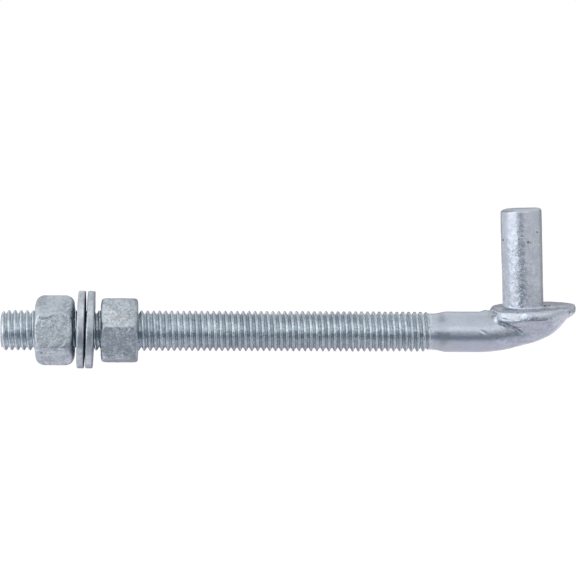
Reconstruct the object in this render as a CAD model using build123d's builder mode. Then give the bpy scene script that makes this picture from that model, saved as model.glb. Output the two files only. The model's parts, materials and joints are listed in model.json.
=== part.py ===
from build123d import *
import os

# J-bolt hinge pin with two nuts and two washers.
# Sizes are in millimetres and angles in degrees.
# The origin lies on the collar's seat, on the pin's axis, and the pin stands up along +Z.
# The shank runs out along -X below the seat, rising a little towards its free end.
# Places along the shank are counted from the pin's axis, negative towards the free end.

# Bar, before and after bending
ROD_DIAMETER = 15.875
REACH = 203.2  # from the pin's axis to the threaded end
SHANK_DROP = 10.4  # from the collar's seat down to the shank's axis, at the pin
SHANK_RISE_ANGLE = 2.5  # how far the bend falls short of square

# Thread, plain here at its outer diameter
THREAD_DIAMETER = 15.6
THREAD_TO_PIN = 37.7  # from the thread's inner end to the pin's axis
THREAD_POINT = 1.8  # chamfer at the free end

# Neck that the thread was rolled on
NECK_DIAMETER = 14.2
NECK_LENGTH = 2.0
NECK_TAPER = 5.5

# Bend, where the bar rises under the collar
BEND_START = 18.5  # from the pin's axis back along the shank
BEND_RADIUS = 49.0  # to the bar's centre line
BEND_ANGLE = 19.5

# Collar, upset out of the bar
COLLAR_DIAMETER = 33.6
COLLAR_OFFSET = 3.65  # its centre lies this far beyond the pin's axis
COLLAR_THICKNESS = 4.7
COLLAR_TOP_ROUND = 2.2
COLLAR_UNDER_ROUND = 2.4
COLLAR_EDGE_LAND = 0.1  # least straight edge left between the two roundings

# Heel, the swelling that carries the collar on the bend
HEEL_LIFT = 2.9  # from the shank's underside up to the heel's lowest section
HEEL_KEEL = -2.3  # where its lowest section lies, seen from the pin's axis
# Each section: its depth as a share of the heel's, then how far it spreads from the keel
# to the collar's edge on the shank's side, on the far side and on the two flanks
HEEL_SECTIONS = [
    (0.13, 0.98, 0.90, 0.89),
    (0.30, 0.91, 0.85, 0.85),
    (0.455, 0.74, 0.78, 0.78),
    (0.625, 0.48, 0.67, 0.67),
    (0.79, 0.30, 0.50, 0.54),
    (0.92, 0.25, 0.27, 0.36),
    (1.0, 0.23, 0.07, 0.15),
]

# Hinge pin
PIN_DIAMETER = 15.9
PIN_HEIGHT = 38.1
PIN_TOP_ROUND = 2.0
PIN_FOOT_RADIUS = 0.9  # fillet where the pin meets the seat
PIN_ROOT = 3.0  # how deep the pin's own solid runs into the collar

# Nuts
NUT_WIDTH = 23.8  # across the flats
NUT_CORNER_DIAMETER = 27.1  # across the worn corners
NUT_BORE_CLEARANCE = 0.05  # radial, over the thread
NUT_COUNTERSINK = 0.7
OUTER_NUT_THICKNESS = 14.6
OUTER_NUT_TURN_ANGLE = 24.5
OUTER_NUT_FACE_DIAMETER = 20.8
OUTER_NUT_EDGE_DEPTH = 3.7
OUTER_NUT_EDGE_BULGE_HEIGHT = 0.9
INNER_NUT_THICKNESS = 14.1
INNER_NUT_TURN_ANGLE = 48.0
INNER_NUT_FACE_DIAMETER = 21.4
INNER_NUT_EDGE_DEPTH = 2.3
INNER_NUT_EDGE_BULGE_HEIGHT = 0.6

# Washers
WASHER_DIAMETER = 30.0
WASHER_BORE_CLEARANCE = 0.7  # radial, over the thread
WASHER_THICKNESS = 2.8
WASHER_EDGE_ROUND = 0.5
WASHER_LIFT = 0.3  # they sit this much above the thread's axis
OUTER_WASHER_LEAN_ANGLE = 1.5  # top towards the pin
OUTER_WASHER_SWING_ANGLE = 2.2  # front edge towards the pin
INNER_WASHER_LEAN_ANGLE = 1.9
INNER_WASHER_SWING_ANGLE = 1.1

# Gaps along the shank, from the free end
END_TO_OUTER_NUT = 13.5
OUTER_NUT_TO_WASHER = 1.15
WASHER_GAP = 0.85
WASHER_TO_INNER_NUT = 2.8

# Worked out from the sizes above
rod_radius = ROD_DIAMETER / 2
thread_radius = THREAD_DIAMETER / 2
collar_radius = COLLAR_DIAMETER / 2
collar_top_round = min(COLLAR_TOP_ROUND, COLLAR_THICKNESS / 2)
collar_under_round = min(COLLAR_UNDER_ROUND, COLLAR_THICKNESS - collar_top_round - COLLAR_EDGE_LAND)
heel_depth = SHANK_DROP + rod_radius - HEEL_LIFT
pin_radius = PIN_DIAMETER / 2
washer_bore_radius = thread_radius + WASHER_BORE_CLEARANCE
thread_start = -REACH
thread_end = -THREAD_TO_PIN
neck_end = thread_end + NECK_LENGTH
taper_end = neck_end + NECK_TAPER
outer_nut_place = thread_start + END_TO_OUTER_NUT
outer_washer_place = outer_nut_place + OUTER_NUT_THICKNESS + OUTER_NUT_TO_WASHER
inner_washer_place = outer_washer_place + WASHER_THICKNESS + WASHER_GAP
inner_nut_place = inner_washer_place + WASHER_THICKNESS + WASHER_TO_INNER_NUT
shank_root = Vector(0, 0, -SHANK_DROP)
shank_direction = Vector(1, 0, 0).rotate(Axis.Y, SHANK_RISE_ANGLE)
shank_axis = Axis(shank_root, shank_direction)

# Upright plane along the shank: its x is the place along the shank, its y the height above the axis
shank_side = Plane(origin=shank_root, x_dir=shank_direction, z_dir=(0, -1, 0))


def shank_section(place, rise=0, lean=0, swing=0):
    """Plane across the shank, with its x along +Y and its y up, turned off square by lean and swing."""
    centre = shank_root + shank_direction * place + shank_side.y_dir * rise
    return Plane(origin=centre, x_dir=(0, 1, 0), z_dir=shank_direction).rotated((0, lean, swing))


def make_bolt():
    """Threaded shank, bend, heel, collar and pin, forged as one piece."""
    with BuildPart() as bolt:
        # Shank with its threaded stretch and neck, turned about its axis
        with BuildSketch(shank_side):
            with BuildLine():
                Polyline(
                    (thread_start, 0),
                    (thread_start, thread_radius - THREAD_POINT),
                    (thread_start + THREAD_POINT, thread_radius),
                    (thread_end, thread_radius),
                    (thread_end, NECK_DIAMETER / 2),
                    (neck_end, NECK_DIAMETER / 2),
                    (taper_end, rod_radius),
                    (-BEND_START, rod_radius),
                    (-BEND_START, 0),
                    close=True,
                )
            make_face()
        revolve(axis=shank_axis)

        # Bend, the bar turned about a line above the shank
        bend_section = shank_section(-BEND_START)
        with BuildSketch(bend_section):
            Circle(rod_radius)
        bend_centre = bend_section.origin + bend_section.y_dir * BEND_RADIUS
        revolve(axis=Axis(bend_centre, (0, -1, 0)), revolution_arc=BEND_ANGLE)

        # Heel, lofted through level ovals
        for depth_share, shank_spread, far_spread, flank_spread in HEEL_SECTIONS:
            shank_edge = HEEL_KEEL + (COLLAR_OFFSET - collar_radius - HEEL_KEEL) * shank_spread
            far_edge = HEEL_KEEL + (COLLAR_OFFSET + collar_radius - HEEL_KEEL) * far_spread
            with BuildSketch(Plane.XY.offset(-depth_share * heel_depth)):
                with Locations(((shank_edge + far_edge) / 2, 0)):
                    Ellipse((far_edge - shank_edge) / 2, collar_radius * flank_spread)
        loft()

        # Collar, turned with rounded edges about its own upright axis
        with BuildSketch(Plane.XZ):
            with BuildLine():
                edge = COLLAR_OFFSET + collar_radius
                Polyline(
                    (edge - collar_top_round, 0),
                    (COLLAR_OFFSET, 0),
                    (COLLAR_OFFSET, -COLLAR_THICKNESS),
                    (edge - collar_under_round, -COLLAR_THICKNESS),
                )
                RadiusArc(
                    (edge - collar_under_round, -COLLAR_THICKNESS),
                    (edge, collar_under_round - COLLAR_THICKNESS),
                    -collar_under_round,
                )
                Line((edge, collar_under_round - COLLAR_THICKNESS), (edge, -collar_top_round))
                RadiusArc((edge, -collar_top_round), (edge - collar_top_round, 0), -collar_top_round)
            make_face()
        revolve(axis=Axis((COLLAR_OFFSET, 0, 0), (0, 0, 1)))

        # Pin with a fillet at its foot and a rounded top
        with BuildSketch(Plane.XZ):
            with BuildLine():
                Line((pin_radius, PIN_FOOT_RADIUS), (pin_radius, PIN_HEIGHT - PIN_TOP_ROUND))
                RadiusArc(
                    (pin_radius, PIN_HEIGHT - PIN_TOP_ROUND),
                    (pin_radius - PIN_TOP_ROUND, PIN_HEIGHT),
                    -PIN_TOP_ROUND,
                )
                Polyline(
                    (pin_radius - PIN_TOP_ROUND, PIN_HEIGHT),
                    (0, PIN_HEIGHT),
                    (0, -PIN_ROOT),
                    (pin_radius + PIN_FOOT_RADIUS, -PIN_ROOT),
                    (pin_radius + PIN_FOOT_RADIUS, 0),
                )
                RadiusArc((pin_radius + PIN_FOOT_RADIUS, 0), (pin_radius, PIN_FOOT_RADIUS), PIN_FOOT_RADIUS)
            make_face()
        revolve(axis=Axis.Z)
    return bolt


def make_nut(place, thickness, turn, face_diameter, edge_depth, edge_bulge):
    """Hexagon nut whose corners are rounded off to a barrel at both ends."""
    bore_radius = thread_radius + NUT_BORE_CLEARANCE
    far_face = place + thickness
    face_radius = face_diameter / 2
    corner_radius = NUT_CORNER_DIAMETER / 2
    with BuildPart() as nut:
        with BuildSketch(shank_section(place)):
            RegularPolygon(NUT_WIDTH / 2, 6, major_radius=False, rotation=turn)
        extrude(amount=thickness)

        # Barrel that rounds off the corners
        with BuildSketch(shank_side):
            with BuildLine():
                Polyline((far_face, face_radius), (far_face, 0), (place, 0), (place, face_radius))
                SagittaArc((place, face_radius), (place + edge_depth, corner_radius), edge_bulge)
                Line((place + edge_depth, corner_radius), (far_face - edge_depth, corner_radius))
                SagittaArc((far_face - edge_depth, corner_radius), (far_face, face_radius), edge_bulge)
            make_face()
        revolve(axis=shank_axis, mode=Mode.INTERSECT)

        # Bore, countersunk at both faces
        with BuildSketch(shank_side):
            with BuildLine():
                Polyline(
                    (place, 0),
                    (place, bore_radius + NUT_COUNTERSINK),
                    (place + NUT_COUNTERSINK, bore_radius),
                    (far_face - NUT_COUNTERSINK, bore_radius),
                    (far_face, bore_radius + NUT_COUNTERSINK),
                    (far_face, 0),
                    close=True,
                )
            make_face()
        revolve(axis=shank_axis, mode=Mode.SUBTRACT)
    return nut


def make_washer(place, lean, swing):
    """Flat washer that lies a little askew on the thread."""
    with BuildPart() as washer:
        with BuildSketch(shank_section(place + WASHER_THICKNESS / 2, WASHER_LIFT, lean, swing)):
            Circle(WASHER_DIAMETER / 2)
            Circle(washer_bore_radius, mode=Mode.SUBTRACT)
        extrude(amount=WASHER_THICKNESS / 2, both=True)
        rims = washer.edges().filter_by(GeomType.CIRCLE).group_by(SortBy.RADIUS)[-1]
        fillet(rims, WASHER_EDGE_ROUND)
    return washer


os.makedirs("parts", exist_ok=True)

j_bolt = make_bolt()
j_bolt.part.label = "j_bolt"
export_step(j_bolt.part, "parts/j_bolt.step")

outer_nut = make_nut(
    outer_nut_place,
    OUTER_NUT_THICKNESS,
    OUTER_NUT_TURN_ANGLE,
    OUTER_NUT_FACE_DIAMETER,
    OUTER_NUT_EDGE_DEPTH,
    OUTER_NUT_EDGE_BULGE_HEIGHT,
)
outer_nut.part.label = "outer_nut"
export_step(outer_nut.part, "parts/outer_nut.step")

outer_washer = make_washer(outer_washer_place, OUTER_WASHER_LEAN_ANGLE, OUTER_WASHER_SWING_ANGLE)
outer_washer.part.label = "outer_washer"
export_step(outer_washer.part, "parts/outer_washer.step")

inner_washer = make_washer(inner_washer_place, INNER_WASHER_LEAN_ANGLE, INNER_WASHER_SWING_ANGLE)
inner_washer.part.label = "inner_washer"
export_step(inner_washer.part, "parts/inner_washer.step")

inner_nut = make_nut(
    inner_nut_place,
    INNER_NUT_THICKNESS,
    INNER_NUT_TURN_ANGLE,
    INNER_NUT_FACE_DIAMETER,
    INNER_NUT_EDGE_DEPTH,
    INNER_NUT_EDGE_BULGE_HEIGHT,
)
inner_nut.part.label = "inner_nut"
export_step(inner_nut.part, "parts/inner_nut.step")
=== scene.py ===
import itertools
import json
import logging
import math
from dataclasses import dataclass
from enum import Enum
from typing import Callable, Mapping, Sequence, Union

import bmesh
import bpy
import numpy as np
from mathutils import Matrix, Vector


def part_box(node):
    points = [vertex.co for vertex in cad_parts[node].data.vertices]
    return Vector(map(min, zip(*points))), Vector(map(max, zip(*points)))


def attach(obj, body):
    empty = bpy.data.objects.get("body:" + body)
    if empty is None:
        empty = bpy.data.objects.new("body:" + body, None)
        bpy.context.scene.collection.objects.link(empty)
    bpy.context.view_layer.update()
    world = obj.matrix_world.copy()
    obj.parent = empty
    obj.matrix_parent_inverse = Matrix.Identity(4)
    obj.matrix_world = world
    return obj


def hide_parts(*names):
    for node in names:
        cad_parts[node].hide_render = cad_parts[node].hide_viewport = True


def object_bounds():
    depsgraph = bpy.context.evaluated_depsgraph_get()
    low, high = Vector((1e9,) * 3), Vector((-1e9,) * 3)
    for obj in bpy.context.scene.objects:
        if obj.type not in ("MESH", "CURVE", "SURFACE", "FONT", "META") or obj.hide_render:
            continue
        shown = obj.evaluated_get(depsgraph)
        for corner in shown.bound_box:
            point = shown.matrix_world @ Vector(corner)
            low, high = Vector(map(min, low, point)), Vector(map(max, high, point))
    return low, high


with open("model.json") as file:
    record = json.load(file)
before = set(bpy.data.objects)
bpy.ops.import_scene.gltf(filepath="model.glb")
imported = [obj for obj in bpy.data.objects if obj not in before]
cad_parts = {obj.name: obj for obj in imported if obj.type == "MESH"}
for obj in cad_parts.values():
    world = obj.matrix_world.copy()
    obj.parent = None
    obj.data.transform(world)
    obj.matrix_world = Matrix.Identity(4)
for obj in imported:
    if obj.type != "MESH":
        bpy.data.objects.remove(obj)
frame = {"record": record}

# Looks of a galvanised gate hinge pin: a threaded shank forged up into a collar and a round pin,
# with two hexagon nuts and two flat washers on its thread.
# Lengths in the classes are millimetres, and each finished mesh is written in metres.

CAD_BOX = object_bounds()
METRES_PER_MM = 0.001

log = logging.getLogger("hinge_pin")

Points = np.ndarray
Distance = Callable[[Points], np.ndarray]
Span = tuple[float, float]
Triple = tuple[float, float, float]
Socket = bpy.types.NodeSocket
Tree = bpy.types.NodeTree
Feed = Union[Socket, float, Triple]

# least values that a length or a slope is divided by
SHORTEST = 1e-9
LEAST_SLOPE_SQUARED = 1e-6
# whole numbers that mix a lattice cell and a seed into a value without a pattern
CELL_FACTORS = (374761393, 668265263, 1274126177)
SEED_FACTOR = 974711
MIX_ROUNDS = ((13, 1103515245), (16, 12345677))
MIX_MASK = 0x7FFFFFFF
# rounds of evening out a new skin, and of settling it on its form at the end
EVEN_ROUNDS = 3
SETTLE_ROUNDS = 2
# metres: how near a cut counts as on its plane, and how near two vertices are welded
CUT_TOLERANCE = 1e-7
WELD_DISTANCE = 2e-6
END_TOLERANCE = 1e-5


class Coat(Enum):
    """How the zinc lies on a piece."""

    DRAINED = "drained"
    SPUN = "spun"
    CRUSTED = "crusted"
    FLAT = "flat"
    # Dark, matt zinc: small dark spots on the bolt, and painted shade on the washers' faces in the gap
    # between them.
    DARK_SPOT_AND_GAP_SHADE = "dull"


def round_union(first: np.ndarray, second: np.ndarray, radius: float) -> np.ndarray:
    """Joins two distance fields with a concave fillet.

    Args:
        first: Distances to one form, negative inside.
        second: Distances to the other form.
        radius: Fillet radius where the two meet.

    Returns:
        Distances to the joined form.
    """
    near = np.hypot(np.maximum(radius - first, 0.0), np.maximum(radius - second, 0.0))
    return np.maximum(radius, np.minimum(first, second)) - near


def round_overlap(first: np.ndarray, second: np.ndarray, radius: float) -> np.ndarray:
    """Keeps what two distance fields share, with the edge rounded over.

    Args:
        first: Distances to one form, negative inside.
        second: Distances to the other form.
        radius: Radius of the rounded edge.

    Returns:
        Distances to the shared form.
    """
    over = np.hypot(np.maximum(radius + first, 0.0), np.maximum(radius + second, 0.0))
    return np.minimum(-radius, np.maximum(first, second)) + over


def fade(value: np.ndarray, start: float, end: float) -> np.ndarray:
    """Smooth step from 0 at start to 1 at end."""
    share = np.clip((value - start) / (end - start), 0.0, 1.0)
    return share * share * (3.0 - 2.0 * share)


def bell(away: np.ndarray, width: float) -> np.ndarray:
    """1 at no distance, falling off smoothly within about the width."""
    return np.exp(-((away / width) ** 2))


def smooth_curve(value: np.ndarray, places: Sequence[float], heights: Sequence[float]) -> np.ndarray:
    """Reads a smooth curve through given points.

    Args:
        value: Where the curve is read.
        places: Rising places of the given points.
        heights: The curve's value at each place.

    Returns:
        The curve's values, held at its end points outside them.
    """
    x = np.asarray(places, float)
    y = np.asarray(heights, float)
    slope = np.gradient(y, x)
    at = np.clip(value, x[0], x[-1])
    left = np.clip(np.searchsorted(x, at, side="right") - 1, 0, len(x) - 2)
    width = x[left + 1] - x[left]
    t = (at - x[left]) / width
    start = y[left] * (1 + 2 * t) * (1 - t) ** 2 + slope[left] * width * t * (1 - t) ** 2
    end = y[left + 1] * t * t * (3 - 2 * t) + slope[left + 1] * width * t * t * (t - 1)
    return start + end


def lattice_value(cell: np.ndarray, seed: int) -> np.ndarray:
    """Fixed value from -1 to 1, without a pattern, for each whole-number cell.

    Args:
        cell: Three whole numbers in each row.
        seed: Picks other values.

    Returns:
        One value for each row.
    """
    mixed = cell @ np.array(CELL_FACTORS) + seed * SEED_FACTOR
    for shift, factor in MIX_ROUNDS:
        mixed = (mixed ^ (mixed >> shift)) * factor & MIX_MASK
    return mixed / float(MIX_MASK >> 1) - 1.0


def ripple(points: Points, wavelength: float, seed: int) -> np.ndarray:
    """Smooth uneven field over space.

    Args:
        points: Places in millimetres.
        wavelength: Distance between neighbouring lattice values.
        seed: Picks another field.

    Returns:
        A value from -1 to 1 at each place.
    """
    scaled = points / wavelength
    cell = np.floor(scaled).astype(np.int64)
    share = scaled - cell
    share = share * share * (3.0 - 2.0 * share)
    total = np.zeros(len(points))
    for corner in itertools.product((0, 1), repeat=3):
        weight = np.prod(np.where(np.array(corner) == 1, share, 1.0 - share), axis=1)
        total += weight * lattice_value(cell + np.array(corner), seed)
    return total


@dataclass(frozen=True)
class Unevenness:
    """Waves that the zinc makes on a surface, a long one and a short one.

    Attributes:
        lengths: Their wavelengths.
        heights: Their heights.
    """

    lengths: Span
    heights: Span

    def rise(self, points: Points, seed: int) -> np.ndarray:
        """Height at each point, in the pattern that the seed picks."""
        long_wave = self.heights[0] * ripple(points, self.lengths[0], seed)
        return long_wave + self.heights[1] * ripple(points, self.lengths[1], seed + 1)


def distance_to_path(points: np.ndarray, path: Sequence[Span]) -> np.ndarray:
    """Distance of each flat point to the nearest place on a path of straight runs.

    Args:
        points: Points with two coordinates.
        path: The corners of the path.

    Returns:
        The distances.
    """
    nearest = np.full(len(points), np.inf)
    for start, end in zip(path[:-1], path[1:]):
        first = np.array(start)
        run = np.array(end) - first
        share = np.clip((points - first) @ run / (run @ run), 0.0, 1.0)
        nearest = np.minimum(nearest, np.linalg.norm(points - first - share[:, None] * run, axis=1))
    return nearest


def slope_of(distance: Distance, points: Points, step: float = 0.01) -> Points:
    """Gradient of a distance field at each point, by central differences.

    Args:
        distance: The form's distance field.
        points: Where it is read.
        step: Half the distance between the two readings.

    Returns:
        The gradients.
    """
    columns = []
    for axis in range(3):
        offset = np.zeros(3)
        offset[axis] = step
        columns.append((distance(points + offset) - distance(points - offset)) / (2 * step))
    return np.stack(columns, axis=1)


def settle(distance: Distance, points: Points, rounds: int, reach: float) -> Points:
    """Moves points along the field's slope until they lie on its surface.

    Args:
        distance: The form's distance field.
        points: Points near the surface.
        rounds: How many Newton steps are made.
        reach: Longest move in one step.

    Returns:
        The points on the surface.
    """
    for _ in range(rounds):
        slope = slope_of(distance, points)
        value = distance(points)
        steepness = np.maximum((slope * slope).sum(axis=1), LEAST_SLOPE_SQUARED)
        move = slope * (value / steepness)[:, None]
        length = np.linalg.norm(move, axis=1, keepdims=True)
        points = points - move * np.minimum(1.0, reach / np.maximum(length, SHORTEST))
    return points


@dataclass
class Skin:
    """A surface of four-sided faces.

    Attributes:
        points: Vertex places in millimetres.
        quads: Vertex numbers of each face, wound outwards.
    """

    points: Points
    quads: np.ndarray

    def relaxed(self) -> Points:
        """Each vertex moved to the middle of its neighbours.

        Returns:
            The moved vertices.
        """
        total = np.zeros_like(self.points)
        count = np.zeros(len(self.points))
        for side in range(4):
            first = self.quads[:, side]
            second = self.quads[:, (side + 1) % 4]
            np.add.at(total, first, self.points[second])
            np.add.at(total, second, self.points[first])
            np.add.at(count, first, 1)
            np.add.at(count, second, 1)
        return total / np.maximum(count, 1)[:, None]

    def rim(self) -> np.ndarray:
        """Marks the vertices on an open edge.

        Returns:
            True for each vertex that lies on one.
        """
        sides = np.concatenate([self.quads[:, [k, (k + 1) % 4]] for k in range(4)])
        edges, count = np.unique(np.sort(sides, axis=1), axis=0, return_counts=True)
        marked = np.zeros(len(self.points), bool)
        marked[edges[count == 1].ravel()] = True
        return marked

    def even_out(self, distance: Distance, cell: float) -> None:
        """Spreads the vertices evenly over a form's surface, and leaves the rim where it is.

        Args:
            distance: The form's distance field.
            cell: About the side of a face.
        """
        fixed = self.rim()[:, None]
        for _ in range(EVEN_ROUNDS):
            moved = np.where(fixed, self.points, (self.points + self.relaxed()) / 2)
            self.points = np.where(fixed, moved, settle(distance, moved, 1, cell))
        settled = settle(distance, self.points, SETTLE_ROUNDS, cell)
        self.points = np.where(fixed, self.points, settled)

    def raised(self, distance: Distance, rise: np.ndarray) -> Points:
        """Each vertex moved out of a form's surface by its own height.

        Args:
            distance: The form's distance field.
            rise: The height of each vertex.

        Returns:
            The moved vertices.
        """
        normal = slope_of(distance, self.points)
        normal /= np.maximum(np.linalg.norm(normal, axis=1, keepdims=True), SHORTEST)
        return self.points + normal * rise[:, None]


def sample_field(distance: Distance, ticks: Sequence[np.ndarray]) -> np.ndarray:
    """Reads a distance field on a grid, one upright sheet at a time.

    Args:
        distance: The distance field.
        ticks: The grid's values of X, Y and Z.

    Returns:
        The distance at each grid point.
    """
    y, z = np.meshgrid(ticks[1], ticks[2], indexing="ij")
    sheets = []
    for x in ticks[0]:
        sheet = np.stack([np.full(y.size, x), y.ravel(), z.ravel()], axis=1)
        sheets.append(distance(sheet).reshape(y.shape))
    return np.array(sheets)


def crossing_places(values: np.ndarray, cells: np.ndarray) -> Points:
    """Where the surface passes through grid cells.

    Args:
        values: The distance field on the grid.
        cells: The cells that the surface passes through.

    Returns:
        For each cell, the middle of the places where its edges cross the surface, in cells.
    """
    total = np.zeros((len(cells), 3))
    crossings = np.zeros(len(cells))
    for start, axis in itertools.product(itertools.product((0, 1), repeat=3), range(3)):
        if start[axis] == 1:
            continue
        end = tuple(c + (k == axis) for k, c in enumerate(start))
        first = values[tuple((cells + start).T)]
        second = values[tuple((cells + end).T)]
        crosses = (first < 0) != (second < 0)
        share = np.where(crosses, first / np.where(crosses, first - second, 1.0), 0.0)
        place = np.array(start, float) + share[:, None] * (np.array(end) - np.array(start))
        total += place * crosses[:, None]
        crossings += crosses
    return cells + total / crossings[:, None]


def crossing_faces(inside: np.ndarray, number_of: np.ndarray) -> np.ndarray:
    """A face around each grid edge that leaves the form.

    Args:
        inside: Which grid points are inside the form.
        number_of: The vertex number of each cell.

    Returns:
        The vertex numbers of each face, wound outwards.
    """
    counts = inside.shape
    faces = []
    for axis in range(3):
        across, beyond = (axis + 1) % 3, (axis + 2) % 3
        shape = list(counts)
        shape[axis] -= 1
        starts = inside[tuple(slice(0, n) for n in shape)]
        ends = inside[tuple(slice(k == axis, n + (k == axis)) for k, n in enumerate(shape))]
        edges = np.argwhere(starts != ends)
        keep = np.ones(len(edges), bool)
        for side in (across, beyond):
            keep &= (edges[:, side] > 0) & (edges[:, side] < counts[side] - 1)
        edges = edges[keep]
        step_across = np.eye(3, dtype=int)[across]
        step_beyond = np.eye(3, dtype=int)[beyond]
        ring = [edges, edges - step_across, edges - step_across - step_beyond, edges - step_beyond]
        quad = np.stack([number_of[tuple(c.T)] for c in ring], axis=1)
        outwards = starts[tuple(edges.T)]
        faces.append(np.where(outwards[:, None], quad, quad[:, ::-1]))
    return np.concatenate(faces)


def skin_of(distance: Distance, low: Sequence[float], high: Sequence[float], cell: float) -> Skin:
    """Meshes the surface of a distance field with even quads.

    Args:
        distance: The form's distance field, negative inside.
        low: Lowest corner of the region that is meshed.
        high: Highest corner of that region.
        cell: Side of the sampling cells, which is about the side of a face.

    Returns:
        The skin, open where the form runs out of the region.
    """
    low_corner = np.asarray(low, float)
    counts = np.ceil((np.asarray(high, float) - low_corner) / cell).astype(int) + 1
    values = sample_field(distance, [low_corner[k] + cell * np.arange(counts[k]) for k in range(3)])
    inside = values < 0
    size = tuple(counts - 1)
    filled = np.zeros(size, int)
    for i, j, k in itertools.product((0, 1), repeat=3):
        filled += inside[i:i + size[0], j:j + size[1], k:k + size[2]]
    cells = np.argwhere((filled > 0) & (filled < 8))
    number_of = np.full(size, -1)
    number_of[tuple(cells.T)] = np.arange(len(cells))
    points = low_corner + cell * crossing_places(values, cells)
    skin = Skin(points, crossing_faces(inside, number_of))
    skin.even_out(distance, cell)
    return skin


def mesh_piece(name: str, points: Points, faces: np.ndarray) -> bpy.types.Object:
    """Makes a smooth-shaded mesh object from points in millimetres.

    Args:
        name: The object's name.
        points: Its vertices.
        faces: Vertex numbers of each face.

    Returns:
        The object, linked to the scene.
    """
    mesh = bpy.data.meshes.new(name)
    mesh.from_pydata((points * METRES_PER_MM).tolist(), [], faces.tolist())
    mesh.validate()
    piece = bpy.data.objects.new(name, mesh)
    bpy.context.scene.collection.objects.link(piece)
    mesh.shade_smooth()
    return piece


@dataclass(frozen=True)
class ShankLine:
    """The shank's axis, read from the record's mount on it.

    Attributes:
        root: Where the axis passes under the pin, in millimetres.
        along: Direction towards the pin.
        up: Upright direction square to it.
    """

    root: np.ndarray
    along: np.ndarray
    up: np.ndarray

    @classmethod
    def from_mount(cls, mount: dict) -> "ShankLine":
        """Takes the axis from the mount on the shank.

        Args:
            mount: The record's mount, with a point in metres and an axis.

        Returns:
            The shank's axis.
        """
        along = -np.array(mount["axis"], float)
        along /= np.linalg.norm(along)
        point = np.array(mount["pos_m"], float) / METRES_PER_MM
        up = np.array([-along[2], 0.0, along[0]])
        return cls(point - along * point[0] / along[0], along, up)

    def inward(self, points: Points) -> Points:
        """Row-frame points as place along the shank, Y, and height above its axis."""
        offset = points - self.root
        return np.stack([offset @ self.along, offset[:, 1], offset @ self.up], axis=1)

    def outward(self, points: Points) -> Points:
        """The shank's own coordinates as row-frame points."""
        side = np.array([0.0, 1.0, 0.0])
        return self.root + points[:, :1] * self.along + points[:, 1:2] * side + points[:, 2:] * self.up


@dataclass(frozen=True)
class ThreadForm:
    """Rolled right-hand thread.

    Attributes:
        crest_radius: Radius of the crests.
        root_radius: Radius of the roots.
        pitch: Advance in one turn.
        crest_place: Place of one crest on the shank's top line.
        crest_share: Half the crest's width, as a share of the pitch.
        root_share: Half the root's width, as a share of the pitch.
        flank_ease: How far the flanks curve, from 0 for straight ones to 1.
    """

    crest_radius: float = 7.8
    root_radius: float = 6.45
    pitch: float = 2.309
    crest_place: float = -200.03
    crest_share: float = 0.1
    root_share: float = 0.05
    flank_ease: float = 0.3

    def radius(self, place: np.ndarray, angle: np.ndarray) -> np.ndarray:
        """Radius of the thread's surface.

        Args:
            place: Place along the shank.
            angle: Turn about the shank, from +Y towards the top, in radians.

        Returns:
            The radius at each place.
        """
        turns = (place - self.crest_place) / self.pitch - (angle / (2 * math.pi) - 0.25)
        from_crest = np.abs((turns + 0.5) % 1.0 - 0.5)
        flank = 0.5 - self.root_share - self.crest_share
        down = np.clip((from_crest - self.crest_share) / flank, 0, 1)
        eased = (1 - self.flank_ease) * down + self.flank_ease * down * down * (3 - 2 * down)
        return self.crest_radius - (self.crest_radius - self.root_radius) * eased


def around(place: np.ndarray, radius: np.ndarray, angle: np.ndarray) -> Points:
    """Points at a radius and an angle about the shank, in its own coordinates."""
    return np.stack([place, radius * np.cos(angle), radius * np.sin(angle)], axis=1)


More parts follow.
